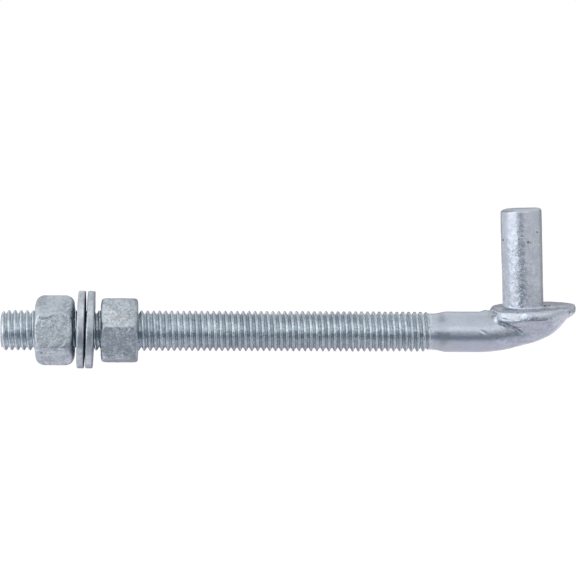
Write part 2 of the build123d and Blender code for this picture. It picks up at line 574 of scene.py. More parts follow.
@dataclass
class ThreadedShank:
    """The long thread with its chamfered end, swept along its helix.

    Attributes:
        line: The shank's axis.
        form: The thread's section.
        end_place: The sawn end.
        fade_place: Where the last turn starts to run out.
        neck_place: Where the plain neck has its own radius.
        neck_radius: Radius of the neck.
        point_depth: Depth of the chamfer at the end.
        least_radius: The chamfer goes no deeper than this.
        steps: Mesh steps in one turn.
        spare_turns: Turns swept past the two ends, which are cut afterwards.
        zinc: How the zinc stands off the true thread.
        neck_calm: How much smoother the zinc is on the neck, from 0 to 1.
        seed: Picks the zinc's pattern.
        cap_rings: Radii of the rings on the sawn end, as shares of its own.
        profile: Mesh places along one pitch, as shares of it.
    """

    line: ShankLine
    form: ThreadForm
    end_place: float = -202.8
    fade_place: float = -38.9
    neck_place: float = -37.5
    neck_radius: float = 7.1
    point_depth: float = 1.1
    least_radius: float = 1.0
    steps: int = 48
    spare_turns: int = 4
    zinc: Unevenness = Unevenness((2.6, 1.1), (0.036, 0.024))
    neck_calm: float = 0.6
    seed: int = 3
    cap_rings: tuple[float, ...] = (0.86, 0.6, 0.3)
    profile: tuple[float, ...] = (0.0, 0.05, 0.1, 0.2, 0.32, 0.43, 0.5, 0.57, 0.68, 0.8, 0.9, 0.95)

    def surface(self) -> tuple[Points, np.ndarray]:
        """Builds the helical strip in the shank's own coordinates.

        Returns:
            The strip's points and its quads. It runs past both ends, which are cut afterwards.
        """
        columns = len(self.profile)
        before = math.ceil((self.form.crest_place - self.end_place) / self.form.pitch) + 1
        turns = math.ceil((self.neck_place - self.end_place) / self.form.pitch) + self.spare_turns
        last_row = turns * self.steps
        step = np.repeat(np.arange(last_row + 1), columns)
        share = np.tile(np.array(self.profile), last_row + 1)
        angle = math.pi / 2 + 2 * math.pi * step / self.steps
        place = self.form.crest_place + self.form.pitch * (step / self.steps - before + share)
        radius = self.form.radius(place, angle)
        chamfer = self.form.crest_radius - self.point_depth + (place - self.end_place)
        radius = np.minimum(radius, np.maximum(chamfer, self.least_radius))
        runout = fade(place, self.fade_place, self.neck_place)
        radius = radius * (1 - runout) + self.neck_radius * runout
        lumps = self.zinc.rise(around(place, radius, angle), self.seed)
        radius += lumps * (1 - self.neck_calm * runout)
        quads = []
        for column in range(columns):
            # The last column joins the first one of the next turn.
            ahead = self.steps if column == columns - 1 else 0
            first = np.arange(last_row - ahead) * columns + column
            beside = first + 1 + max(ahead - 1, 0) * columns
            quads.append(np.stack([first, beside, beside + columns, first + columns], axis=1))
        return around(place, radius, angle), np.concatenate(quads)

    def build(self, cut_x: float) -> bpy.types.Object:
        """Makes the thread as a mesh that is closed at its sawn end and open at the neck.

        Args:
            cut_x: Row-frame X where the neck is cut to meet the forging.

        Returns:
            The thread's object.
        """
        points, quads = self.surface()
        piece = mesh_piece("thread", self.line.outward(points), quads)
        work = bmesh.new()
        work.from_mesh(piece.data)
        along = Vector(self.line.along)
        end_point = Vector(self.line.root + self.line.along * self.end_place) * METRES_PER_MM
        neck_point = Vector((cut_x, 0, 0)) * METRES_PER_MM
        for place, outwards in ((end_point, -along), (neck_point, Vector((1, 0, 0)))):
            bmesh.ops.bisect_plane(
                work, geom=work.verts[:] + work.edges[:] + work.faces[:],
                plane_co=place, plane_no=outwards, clear_outer=True, dist=CUT_TOLERANCE,
            )
        bmesh.ops.remove_doubles(work, verts=work.verts, dist=WELD_DISTANCE)
        end_edges = [
            edge for edge in work.edges
            if edge.is_boundary and all((v.co - end_point).dot(along) < END_TOLERANCE for v in edge.verts)
        ]
        self.close_end(work, end_edges, end_point)
        work.to_mesh(piece.data)
        work.free()
        return piece

    def close_end(self, work: bmesh.types.BMesh, edges: list, centre: Vector) -> None:
        """Closes the sawn end with rings that step in to its centre.

        Args:
            work: The thread's mesh.
            edges: The open edges at the sawn end.
            centre: The shank's axis at that end, in metres.
        """
        rim = edges
        inner = 1.0
        for share in self.cap_rings:
            made = bmesh.ops.extrude_edge_only(work, edges=rim)["geom"]
            for vert in (g for g in made if isinstance(g, bmesh.types.BMVert)):
                vert.co = centre + (vert.co - centre) * (share / inner)
            rim = [g for g in made if isinstance(g, bmesh.types.BMEdge)]
            inner = share
        bmesh.ops.holes_fill(work, edges=rim, sides=0)


@dataclass(frozen=True)
class Stroke:
    """A crease or ridge along a path on a piece's front, seen square on.

    Attributes:
        path: Its points, along the piece and up, in the coordinates that the piece is made in.
        height: How far it stands out, negative for a crease.
        width: Its half width.
        front: True on the side of -Y only.
        turn_away: Where the front fades out, as distances towards -Y.
    """

    path: tuple[Span, ...]
    height: float
    width: float
    front: bool = True
    turn_away: Span = (-1.0, 1.5)

    def rise(self, points: Points) -> np.ndarray:
        """Height added at each point."""
        shape = bell(distance_to_path(points[:, [0, 2]], self.path), self.width)
        return self.height * shape * (fade(-points[:, 1], *self.turn_away) if self.front else 1.0)


@dataclass(frozen=True)
class Dab:
    """A lump or pit of zinc at one place.

    Attributes:
        place: Its centre in the row frame.
        height: How far it stands out, negative for a pit.
        width: Its radius.
    """

    place: Triple
    height: float
    width: float

    def rise(self, points: Points) -> np.ndarray:
        """Height added at each point."""
        return self.height * bell(np.linalg.norm(points - np.array(self.place), axis=1), self.width)


@dataclass(frozen=True)
class Lap:
    """A groove around the collar, where the upset steel folded over.

    Attributes:
        centre: X of the collar's axis.
        radius: Distance of the line from that axis.
        level: Its height.
        height: How far it stands out, negative for a groove.
        width: Its half width.
        strength: How much of its height it has on average, and how far that varies.
        run: Length over which it varies.
        squeeze: Stretches the pattern of its strength upwards.
        seed: Picks where it is faint.
    """

    centre: float
    radius: float
    level: float
    height: float
    width: float
    strength: Span = (0.8, 0.7)
    run: float = 7.0
    squeeze: Triple = (1.0, 1.0, 0.2)
    seed: int = 31

    def rise(self, points: Points) -> np.ndarray:
        """Height added at each point.

        Args:
            points: Points in the row frame.

        Returns:
            The heights.
        """
        out = np.hypot(points[:, 0] - self.centre, points[:, 1])
        away = np.hypot(out - self.radius, points[:, 2] - self.level)
        average, variation = self.strength
        strength = average + variation * ripple(points * self.squeeze, self.run, self.seed)
        return self.height * np.clip(strength, 0.0, 1.0) * bell(away, self.width)


Detail = Union[Stroke, Dab, Lap]

FORGING_DETAILS: tuple[Detail, ...] = (
    # bump on the shank's top in front of the collar, and the crease that runs down from it
    Stroke(((-15.3, -0.9), (-14.7, -1.2)), 0.75, 1.1, front=False),
    Stroke(((-13.7, -1.4), (-12.8, -1.9), (-12.1, -2.4)), -0.5, 0.5),
    Stroke(((-10.2, -3.9), (-9.4, -4.4)), 0.3, 1.0),
    Stroke(((-8.6, -6.1), (-7.3, -6.9), (-5.8, -7.7), (-4.6, -8.4)), -0.25, 0.45),
    Dab((-3.9, -9.0, -9.2), -0.35, 1.1),
    # second roll under the collar, with a fine crease below it
    Stroke(((-6.0, -7.3), (-3.6, -7.25), (-0.7, -7.35), (2.6, -7.5)), -0.22, 0.4),
    Stroke(((-3.0, -6.7), (0.0, -6.7), (3.0, -6.6)), 0.2, 0.9),
    Stroke(((-7.5, -6.2), (-4.5, -6.4)), 0.4, 1.0),
    # nick on the shank
    Stroke(((-18.0, -8.4), (-16.7, -9.3)), -0.16, 0.35),
    Stroke(((-18.4, -8.9), (-17.2, -9.8)), 0.12, 0.35),
    # wrinkles on the heel
    Stroke(((0.9, -13.0), (6.5, -10.9), (10.8, -7.4)), -0.16, 0.4),
    Stroke(((2.5, -11.6), (7.0, -9.0), (10.0, -6.4)), 0.14, 0.6),
    # lumps of zinc on the seat
    Dab((8.1, -3.5, -0.25), 0.6, 0.5),
    Dab((9.7, -3.3, -0.2), 0.45, 0.45),
    Dab((10.8, -4.4, -0.3), 0.3, 0.4),
    Stroke(((11.4, -0.7), (12.6, -0.7)), 0.2, 0.4),
    # rough patch at the collar's right end
    Dab((15.8, -11.0, -1.2), 0.3, 0.7),
    Dab((16.1, -11.2, -2.1), -0.35, 0.6),
    Dab((14.5, -12.8, -1.8), 0.25, 0.7),
    Dab((17.6, -8.1, -1.0), 0.3, 0.6),
    Dab((13.1, -13.8, -2.5), -0.25, 0.6),
    # uneven heel
    Dab((-0.5, -11.4, -8.7), -0.2, 0.9),
    Dab((3.3, -12.0, -9.2), 0.15, 0.9),
    Dab((5.8, -13.2, -7.6), -0.15, 0.8),
    Dab((8.5, -13.1, -6.2), 0.15, 0.8),
    Dab((2.6, -9.4, -11.8), -0.2, 1.0),
    # lap line around the collar
    Lap(centre=3.65, radius=16.0, level=-0.7, height=-0.12, width=0.3),
)

NUT_DETAILS: tuple[Detail, ...] = (
    # run of zinc above the front flat, and the sharp edge below that flat
    Stroke(((-188.3, 5.6), (-187.0, 5.3), (-185.6, 5.1), (-184.0, 5.6), (-182.6, 6.2)), -0.16, 0.28),
    Stroke(((-187.6, 6.3), (-185.0, 6.2), (-183.4, 6.8)), 0.12, 0.4),
    Stroke(((-186.2, -6.9), (-177.1, -6.9)), -0.2, 0.3),
    # pits and a lump at the outer end's lower corner
    Stroke(((-188.9, -6.3), (-188.3, -6.6)), -0.55, 0.38),
    Stroke(((-188.9, -7.9), (-188.2, -8.3)), -0.55, 0.38),
    Stroke(((-187.0, -7.6), (-186.6, -8.0)), -0.5, 0.35),
    Stroke(((-187.8, -6.9), (-187.3, -7.4)), 0.25, 0.3),
)


def rise_of(details: Sequence[Detail], points: Points) -> np.ndarray:
    """Height that all details add together at each point."""
    return sum((detail.rise(points) for detail in details), np.zeros(len(points)))


@dataclass(kw_only=True)
class Forging:
    """Neck, shank, bend, heel, collar and pin, blended into one form.

    Attributes:
        line: The shank's axis.
        pin_radius: Radius of the pin, from its mount.
        low: Lowest corner of the piece, from the frame.
        high: Highest corner of the piece, at the height of the pin's top.
    """

    line: ShankLine
    pin_radius: float
    low: np.ndarray
    high: np.ndarray
    # bar, its neck towards the thread, and its bend as an arc of an angle in degrees
    bar_radius: float = 7.9375
    neck_radius: float = 7.1
    neck_end: float = -35.7
    taper_end: float = -30.2
    bend_start: float = -18.5
    bend_radius: float = 49.0
    bend_angle: float = 19.5
    # collar: its rim bulges out at one level, and its side away from the shank is higher and thinner
    collar_radius: float = 16.8
    collar_offset: float = 3.65
    collar_thickness: float = 5.5
    collar_top_round: float = 0.8
    collar_under_round: float = 1.2
    rim_level: float = -3.4
    rim_radius: float = 5.8
    far_from: float = 0.0
    far_to: float = 14.0
    far_rise: float = 1.9
    far_round: float = 1.2
    far_thin: float = 0.6
    # dent in the rim at an angle about the pin, in degrees, and the seat's sag to the front
    dent_depth: float = 0.9
    dent_angle: float = -130.0
    dent_spread: float = 20.0
    seat_sag: float = 0.8
    sag_span: Span = (1.0, 8.0)
    # heel: its reach from the keel line to each side, as shares of the collar's, at shares of its depth
    heel_keel: float = -2.3
    heel_depth: float = 15.4375
    heel_top: float = 4.9
    heel_depths: tuple[float, ...] = (0.13, 0.30, 0.455, 0.625, 0.79, 0.92, 1.0)
    heel_towards_shank: tuple[float, ...] = (0.98, 0.93, 0.60, 0.32, 0.24, 0.22, 0.22)
    heel_away: tuple[float, ...] = (0.90, 0.85, 0.78, 0.67, 0.50, 0.27, 0.07)
    heel_to_sides: tuple[float, ...] = (0.90, 0.90, 0.83, 0.69, 0.53, 0.36, 0.15)
    # pin: fillet at its foot, rounding at its top, and how far that is worn down towards the shank
    foot_radius: float = 0.6
    top_round: float = 1.3
    top_slope: float = 0.45
    worn_span: Span = (4.0, 8.2)
    # fillet from bar to heel: its least and most radius, the depths over which it widens,
    # and the heights over which it narrows again
    heel_fillet: Span = (0.5, 2.0)
    low_from: Span = (9.0, 11.0)
    low_to: Span = (-15.0, -12.0)
    # fillet from them to the collar, which widens towards the shank and the front
    collar_fillet: Span = (0.8, 2.0)
    flow_along: Span = (3.0, 8.0)
    flow_front: Span = (2.0, 6.0)
    # zinc: how much of its unevenness the shank has, what the head adds, and over which X that comes in
    zinc: Unevenness = Unevenness((3.2, 1.2), (0.05, 0.035))
    calm_share: float = 0.4
    head_share: float = 0.8
    head_span: Span = (-18.0, -6.0)
    seed: int = 11
    cut_x: float = -36.6
    margin: Triple = (1.0, 1.0, 1.5)
    cell: float = 0.42
    details: tuple[Detail, ...] = FORGING_DETAILS

    def bar(self, points: Points) -> np.ndarray:
        """Distance to the round bar, straight and then bent up.

        Args:
            points: Points in the row frame.

        Returns:
            Their distances, negative inside.
        """
        place, side, rise = self.line.inward(points).T
        narrow = self.neck_radius - self.bar_radius
        radius = self.bar_radius + narrow * (1 - fade(place, self.neck_end, self.taper_end))
        straight = np.hypot(side, rise) - radius
        angle = np.arctan2(place - self.bend_start, self.bend_radius - rise)
        angle = np.clip(angle, 0.0, math.radians(self.bend_angle))
        centre_place = self.bend_start + self.bend_radius * np.sin(angle)
        centre_rise = self.bend_radius * (1 - np.cos(angle))
        from_centre = np.sqrt((place - centre_place) ** 2 + side**2 + (rise - centre_rise) ** 2)
        return np.where(place < self.bend_start, straight, from_centre - self.bar_radius)

    def heel(self, points: Points) -> np.ndarray:
        """Distance to the swelling that carries the collar, level ovals that shrink downwards.

        Args:
            points: Points in the row frame.

        Returns:
            Their distances, negative inside.
        """
        share = -points[:, 2] / self.heel_depth
        shank_reach = self.collar_offset - self.collar_radius - self.heel_keel
        far_reach = self.collar_offset + self.collar_radius - self.heel_keel
        towards, away, sideways = (
            smooth_curve(share, self.heel_depths, shares)
            for shares in (self.heel_towards_shank, self.heel_away, self.heel_to_sides)
        )
        shank_edge = self.heel_keel + shank_reach * towards
        half = (self.heel_keel + far_reach * away - shank_edge) / 2
        width = self.collar_radius * sideways
        level = np.hypot((points[:, 0] - shank_edge - half) / half, points[:, 1] / width)
        oval = (level - 1) * np.minimum(half, width)
        return np.maximum(oval, np.maximum(-points[:, 2] - self.heel_depth, points[:, 2] + self.heel_top))

    def collar(self, points: Points) -> np.ndarray:
        """Distance to the collar, a disc with rounded edges.

        Args:
            points: Points in the row frame.

        Returns:
            Their distances, negative inside.
        """
        place, side, height = points.T
        from_axis = place - self.collar_offset
        far = fade(from_axis, self.far_from, self.far_to)
        bulge = (height - self.rim_level - self.far_rise * far) ** 2 / (2 * self.rim_radius)
        turned = np.degrees(np.arctan2(side, from_axis)) - self.dent_angle
        dent = self.dent_depth * bell(turned, self.dent_spread)
        out = np.hypot(from_axis, side) - self.collar_radius + bulge + dent
        seat = height + self.seat_sag * fade(-side, *self.sag_span)
        top = round_overlap(out, seat, self.collar_top_round)
        thickness = self.collar_thickness - self.far_thin * far
        return round_overlap(top, -height - thickness, self.collar_under_round + self.far_round * far)

    def pin(self, points: Points) -> np.ndarray:
        """Distance to the round pin.

        Args:
            points: Points in the row frame.

        Returns:
            Their distances, negative inside.
        """
        out = np.hypot(points[:, 0], points[:, 1]) - self.pin_radius
        worn = self.top_slope * fade(-points[:, 0], *self.worn_span)
        body = round_overlap(out, points[:, 2] - self.high[2] + worn, self.top_round)
        return np.maximum(body, -points[:, 2] - self.collar_thickness / 2)

    def distance(self, points: Points) -> np.ndarray:
        """Distance to the whole forging, with fillets where its forms meet.

        Args:
            points: Points in the row frame.

        Returns:
            Their distances, negative inside.
        """
        low = fade(-points[:, 2], *self.low_from) * fade(points[:, 2], *self.low_to)
        least, most = self.heel_fillet
        body = round_union(self.bar(points), self.heel(points), least + (most - least) * low)
        flow = fade(-points[:, 0], *self.flow_along) * fade(-points[:, 1], *self.flow_front)
        least, most = self.collar_fillet
        head = round_union(body, self.collar(points), least + (most - least) * flow)
        return round_union(head, self.pin(points), self.foot_radius)

    def build(self) -> bpy.types.Object:
        """Makes the forging's mesh, open where the thread joins its neck.

        Returns:
            The forging's object.
        """
        low = self.low - self.margin
        low[0] = self.cut_x
        skin = skin_of(self.distance, low, self.high + self.margin, self.cell)
        hammered = self.calm_share + self.head_share * fade(skin.points[:, 0], *self.head_span)
        rise = hammered * self.zinc.rise(skin.points, self.seed) + rise_of(self.details, skin.points)
        rise = np.where(skin.rim(), 0.0, rise)
        return mesh_piece("forging", skin.raised(self.distance, rise), skin.quads)


@dataclass(frozen=True)
class DarkSpot:
    """Small spot drawn in darker, matt zinc: its middle in the row frame and how far it reaches."""

    place: Triple
    radius: float


DARK_SPOTS = (
    DarkSpot((8.1, -3.6, 0.1), 0.75),
    DarkSpot((9.7, -3.4, 0.1), 0.65),
    DarkSpot((11.9, -8.9, -0.7), 0.6),
    DarkSpot((-7.67, -2.05, 26.2), 0.5),
    DarkSpot((4.9, -6.3, 28.9), 0.5),
    DarkSpot((1.0, -7.9, 25.1), 0.45),
    DarkSpot((2.0, -7.7, 25.0), 0.4),
    DarkSpot((16.1, -11.2, -2.1), 0.6),
    DarkSpot((17.4, -8.4, -1.3), 0.5),
)


@dataclass(kw_only=True)
class Piece:
    """A finished piece that stands for a CAD node.

    Attributes:
        line: The shank's axis.
        name: The piece's name.
        node: The CAD node that it replaces.
        body: The body that it rides on.
        slot: Its material slot in the record; not used.
        coats: How the zinc lies on it, a finish for each material number of its faces.
    """

    line: ShankLine
    name: str
    node: str
    body: str
    slot: str
    coats: tuple[Coat, ...]

    def build(self) -> bpy.types.Object:
        """Makes the piece's mesh, with its faces' material numbers.

        Returns:
            The piece's object.
        """
        raise NotImplementedError

    def dress(self, materials: Mapping[Coat, bpy.types.Material]) -> None:
        """Builds the piece, gives it its materials and ties it to its body and node.

        Args:
            materials: The material of each coat.
        """
        piece = self.build()
        for coat in self.coats:
            piece.data.materials.append(materials[coat])
        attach(piece, self.body)
        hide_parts(self.node)
        log.info("%s: %d faces", piece.name, len(piece.data.polygons))


@dataclass(kw_only=True)
class BoltPiece(Piece):
    """The whole J-bolt: thread and forging joined at the neck.

    Attributes:
        thread: The thread.
        forging: The rest of the bolt.
        join_gap: Gap between the two that one ring of faces bridges.
        cap_depth: How deep the sawn end's own face counts.
        crust_depth: How far in from the end the zinc is crusted.
        dark_spots: The dark spots.
    """

    thread: ThreadedShank
    forging: Forging
    join_gap: float = 0.25
    cap_depth: float = 0.2
    crust_depth: float = 0.9
    dark_spots: tuple[DarkSpot, ...] = DARK_SPOTS
    name: str = "bolt_forging"
    node: str = "j_bolt"
    body: str = "bolt"
    slot: str = "forged_zinc"
    coats: tuple[Coat, ...] = (Coat.DRAINED, Coat.SPUN, Coat.DARK_SPOT_AND_GAP_SHADE, Coat.CRUSTED)

    def build(self) -> bpy.types.Object:
        """Joins the two open rims into one closed skin.

        Returns:
            The bolt's object.
        """
        head = self.forging.build()
        rim_x = min(v.co.x for v in head.data.vertices) / METRES_PER_MM
        thread = self.thread.build(rim_x - self.join_gap)
        work = bmesh.new()
        work.from_mesh(head.data)
        work.from_mesh(thread.data)
        bmesh.ops.bridge_loops(work, edges=[e for e in work.edges if e.is_boundary])
        log.info("%s: %d open edges", self.name, sum(e.is_boundary for e in work.edges))
        bmesh.ops.recalc_face_normals(work, faces=work.faces)
        work.to_mesh(head.data)
        work.free()
        bpy.data.objects.remove(thread)
        self.coat_faces(head.data, rim_x)
        head.data.shade_smooth()
        head.name = self.name
        return head

    def coat_faces(self, mesh: bpy.types.Mesh, rim_x: float) -> None:
        """Gives each face the number of its coat.

        Args:
            mesh: The bolt's mesh.
            rim_x: Row-frame X where the forging begins.
        """
        centres = np.empty(len(mesh.polygons) * 3)
        mesh.polygons.foreach_get("center", centres)
        centres = centres.reshape(-1, 3) / METRES_PER_MM
        from_end = centres[:, 0] - self.thread.end_place
        number = {coat: place for place, coat in enumerate(self.coats)}
        threaded = (from_end > self.cap_depth) & (centres[:, 0] < rim_x)
        coat = np.where(threaded, number[Coat.SPUN], number[Coat.DRAINED])
        coat[from_end < self.crust_depth] = number[Coat.CRUSTED]
        for dark_spot in self.dark_spots:
            away = np.linalg.norm(centres - np.array(dark_spot.place), axis=1)
            coat[away < dark_spot.radius] = number[Coat.DARK_SPOT_AND_GAP_SHADE]
        mesh.polygons.foreach_set("material_index", coat.astype(np.int32))


@dataclass(kw_only=True)
class Nut(Piece):
    """Hexagon nut with rounded ends and a threaded bore.

    Attributes:
        thread: The bolt's thread, which the bore follows.
        place: Its outer end face along the shank.
        thickness: Its length along the shank.
        turn: Angle of its flats about the shank, in degrees.
        face_diameter: Flat circle left on its end faces.
        edge_depth: How far the rounding of the corners runs in.
        flat_width: Width across its flats.
        corner_diameter: Diameter over its corners.
        edge_round: Radius of the edges between flats and end rounding.
        bore_clearance: Gap between its thread and the bolt's.
        bore_round: Radius of the edge at the bore's mouth.
        countersink: Depth of the countersink.
        outside: Radii from and beyond which the surface is the outer one.
        cell: About the side of its faces.
        margin: Room around it in which it is meshed.
        zinc: How its zinc is uneven.
        seed: Picks the zinc's pattern.
        details: Its creases, ridges and pits.
    """

    thread: ThreadForm
    place: float
    thickness: float
    turn: float
    face_diameter: float
    edge_depth: float
    flat_width: float = 23.8
    corner_diameter: float = 27.1
    edge_round: float = 0.35
    bore_clearance: float = 0.12
    bore_round: float = 0.15
    countersink: float = 0.8
    outside: Span = (8.2, 9.2)
    cell: float = 0.3
    margin: float = 1.0
    zinc: Unevenness = Unevenness((2.4, 0.9), (0.06, 0.04))
    seed: int = 20
    details: tuple[Detail, ...] = ()
    slot: str = "nut_zinc"
    coats: tuple[Coat, ...] = (Coat.CRUSTED,)

    def distance(self, local: Points) -> np.ndarray:
        """Distance to the nut, in the shank's own coordinates.

        Args:
            local: Points in those coordinates.

        Returns:
            Their distances, negative inside.
        """
        place, side, rise = local.T
        radius = np.hypot(side, rise)
        ends = np.minimum(place - self.place, self.place + self.thickness - place)
        face_radius = self.face_diameter / 2
        corner = self.corner_diameter / 2 - face_radius
        barrel = np.hypot(
            np.maximum(radius - face_radius, 0.0) / corner,
            np.maximum(self.edge_depth - ends, 0.0) / self.edge_depth,
        )
        body = (barrel - 1) * min(corner, self.edge_depth)
        flats = []
        for number in range(6):
            angle = math.radians(self.turn + 30 + 60 * number)
            flats.append(side * math.cos(angle) + rise * math.sin(angle) - self.flat_width / 2)
        prism = flats[0]
        for flat in flats[1:]:
            prism = round_overlap(prism, flat, self.edge_round)
        body = round_overlap(body, prism, self.edge_round)
        bore = self.thread.radius(place, np.arctan2(rise, side)) + self.bore_clearance
        bore = np.maximum(bore, self.thread.crest_radius + self.countersink - ends)
        return round_overlap(body, bore - radius, self.bore_round)

    def build(self) -> bpy.types.Object:
        """Makes the nut's mesh.

        Returns:
            The nut's object.
        """
        reach = self.corner_diameter / 2 + self.margin
        low = (self.place - self.margin, -reach, -reach)
        high = (self.place + self.thickness + self.margin, reach, reach)
        skin = skin_of(self.distance, low, high, self.cell)
        outside = fade(np.hypot(skin.points[:, 1], skin.points[:, 2]), *self.outside)
        rise = self.zinc.rise(skin.points, self.seed) + rise_of(self.details, skin.points)
        points = skin.raised(self.distance, rise * outside)
        return mesh_piece(self.name, self.line.outward(points), skin.quads)


@dataclass(kw_only=True)
class Washer(Piece):
    """Flat washer that lies a little askew on the thread.

    Attributes:
        place: Its outer face along the shank.
        lean: How far it leans along the shank, in degrees.
        swing: How far it is turned about the upright, in degrees.
        mate: 1 where the other washer is on the pin's side, -1 where it is on the other.
        diameter: Its diameter.
        bore_radius: Radius of its bore.
        thickness: Its thickness.
        edge_round: Radius of its edges.
        lift: How far it sits above the shank's axis.
        face_depth: How deep the face towards the other washer counts; that face is drawn in dark, matt
            zinc as painted shade in the gap between the washers.
        cell: About the side of its faces.
        margin: Room around it in which it is meshed.
        zinc: How its zinc is uneven.
        seed: Picks the zinc's pattern.
    """

    place: float
    lean: float
    swing: float
    mate: int
    diameter: float = 30.0
    bore_radius: float = 8.5
    thickness: float = 2.8
    edge_round: float = 0.5
    lift: float = 0.3
    face_depth: float = 0.2
    cell: float = 0.34
    margin: float = 1.0
    zinc: Unevenness = Unevenness((3.0, 1.1), (0.05, 0.03))
    seed: int = 40
    slot: str = "washer_zinc"
    coats: tuple[Coat, ...] = (Coat.FLAT, Coat.DARK_SPOT_AND_GAP_SHADE)

    def distance(self, local: Points) -> np.ndarray:
        """Distance to the washer, in its own upright coordinates.

        Args:
            local: Points in those coordinates.

        Returns:
            Their distances, negative inside.
        """
        radius = np.hypot(local[:, 1], local[:, 2])
        slab = np.abs(local[:, 0]) - self.thickness / 2
        ring = np.maximum(radius - self.diameter / 2, self.bore_radius - radius)
        return round_overlap(slab, ring, self.edge_round)

    def build(self) -> bpy.types.Object:
        """Makes the washer's mesh.

        Returns:
            The washer's object.
        """
        reach = self.diameter / 2 + self.margin
        half = self.thickness / 2 + self.margin
        skin = skin_of(self.distance, (-half, -reach, -reach), (half, reach, reach), self.cell)
        local = skin.raised(self.distance, self.zinc.rise(skin.points, self.seed))
        middle = self.place + self.thickness / 2
        centre = self.line.root + self.line.along * middle + self.line.up * self.lift
        basis = Matrix((self.line.along, (0, 1, 0), self.line.up)).transposed()
        turned = Matrix.Rotation(math.radians(self.swing), 3, "Z")
        turned = turned @ Matrix.Rotation(math.radians(self.lean), 3, "Y") @ basis
        piece = mesh_piece(self.name, centre + local @ np.array(turned).T, skin.quads)
        # The faces towards the other washer take the dark, matt coat: painted shade in the gap between
        # the two washers.
        towards_mate = skin.points[skin.quads].mean(axis=1)[:, 0] * self.mate
        gap_shaded = towards_mate > self.thickness / 2 - self.face_depth
        piece.data.polygons.foreach_set("material_index", gap_shaded.astype(np.int32))
        return piece


@dataclass(frozen=True)
class ZincFinish:
    """Hot-dip zinc.

    Attributes:
        name: The material's name.
        light: Colour of the clean zinc.
        dark: Colour of its duller patches.
        roughness: Mirror-like at 0, matt at 1, for the clean and the dull zinc.
        specks: How strongly dark specks show.
        warmth: How strongly warm stains show.
        hammer: Height of the hammered bumps.
        grain: Height of the fine grain.
        pits: Height of pits and crusts.
        smooth_shank: Whether the finish calms down along the shank and at the pin's top.
    """

    name: str
    light: Triple
    dark: Triple
    roughness: Span
    specks: float
    warmth: float
    hammer: float
    grain: float
    pits: float
    smooth_shank: bool = False


FINISHES = {
    Coat.DRAINED: ZincFinish(
        "drained_zinc", (0.52, 0.57, 0.65), (0.41, 0.455, 0.53), (0.24, 0.38), 0.5, 0.35, 1.0, 1.0, 0.3,
        smooth_shank=True,
    ),
    Coat.SPUN: ZincFinish(
        "spun_zinc", (0.6, 0.665, 0.715), (0.45, 0.51, 0.565), (0.22, 0.36), 0.6, 0.2, 1.0, 0.6, 0.4
    ),
    Coat.CRUSTED: ZincFinish(
        "crusted_zinc", (0.51, 0.57, 0.63), (0.34, 0.385, 0.43), (0.34, 0.5), 0.8, 0.35, 1.2, 2.0, 1.2
    ),
    Coat.FLAT: ZincFinish(
        "flat_zinc", (0.51, 0.56, 0.62), (0.38, 0.43, 0.48), (0.32, 0.46), 0.6, 0.3, 0.6, 0.8, 0.3
    ),
    # dark, matt zinc for small dark spots on the bolt, and painted shade on the washers' faces in the gap
    # between them
    Coat.DARK_SPOT_AND_GAP_SHADE: ZincFinish(
        "dark_spot_and_gap_shade_zinc", (0.24, 0.27, 0.31), (0.16, 0.18, 0.21), (0.7, 0.85), 0.6, 0.2, 0.6, 0.8, 0.3
    ),
}
SPECK_COLOUR = (0.2, 0.22, 0.26)
STAIN_COLOUR = (0.5, 0.49, 0.5)
BUMP_STRENGTH = 0.6
BUMP_DISTANCE = 0.00025  # metres


@dataclass(frozen=True)
class Grain:
    """One size of pattern in the zinc.

    Attributes:
        scale: Patches in a metre.
        detail: Finer sizes added to it.
        share: Its weight among others.
        span: Values that become 0 and 1 where it is read as a mask.
    """

    scale: float
    detail: float
    share: float = 1.0
    span: Span = (0.0, 1.0)


DULL_GRAINS = (Grain(160.0, 4.0, 0.4), Grain(800.0, 2.0, 0.35), Grain(2100.0, 1.0, 0.25))
DULL_SPAN = (0.4, 0.6)
SPECK_GRAIN = Grain(1500.0, 1.0, span=(0.66, 0.76))
STAIN_GRAIN = Grain(260.0, 3.0, span=(0.52, 0.66))
HAMMER_GRAIN = Grain(620.0, 1.0)
FINE_GRAIN = Grain(2200.0, 3.0, 0.3)
CRUST_GRAIN = Grain(1100.0, 4.0, span=(0.56, 0.72))
# metres: where the forging is rough along X, and from its smooth top down along Z
ROUGH_ALONG = (-0.018, -0.005)
ROUGH_DOWN = (0.04, 0.02)
LEAST_ROUGH = 0.3


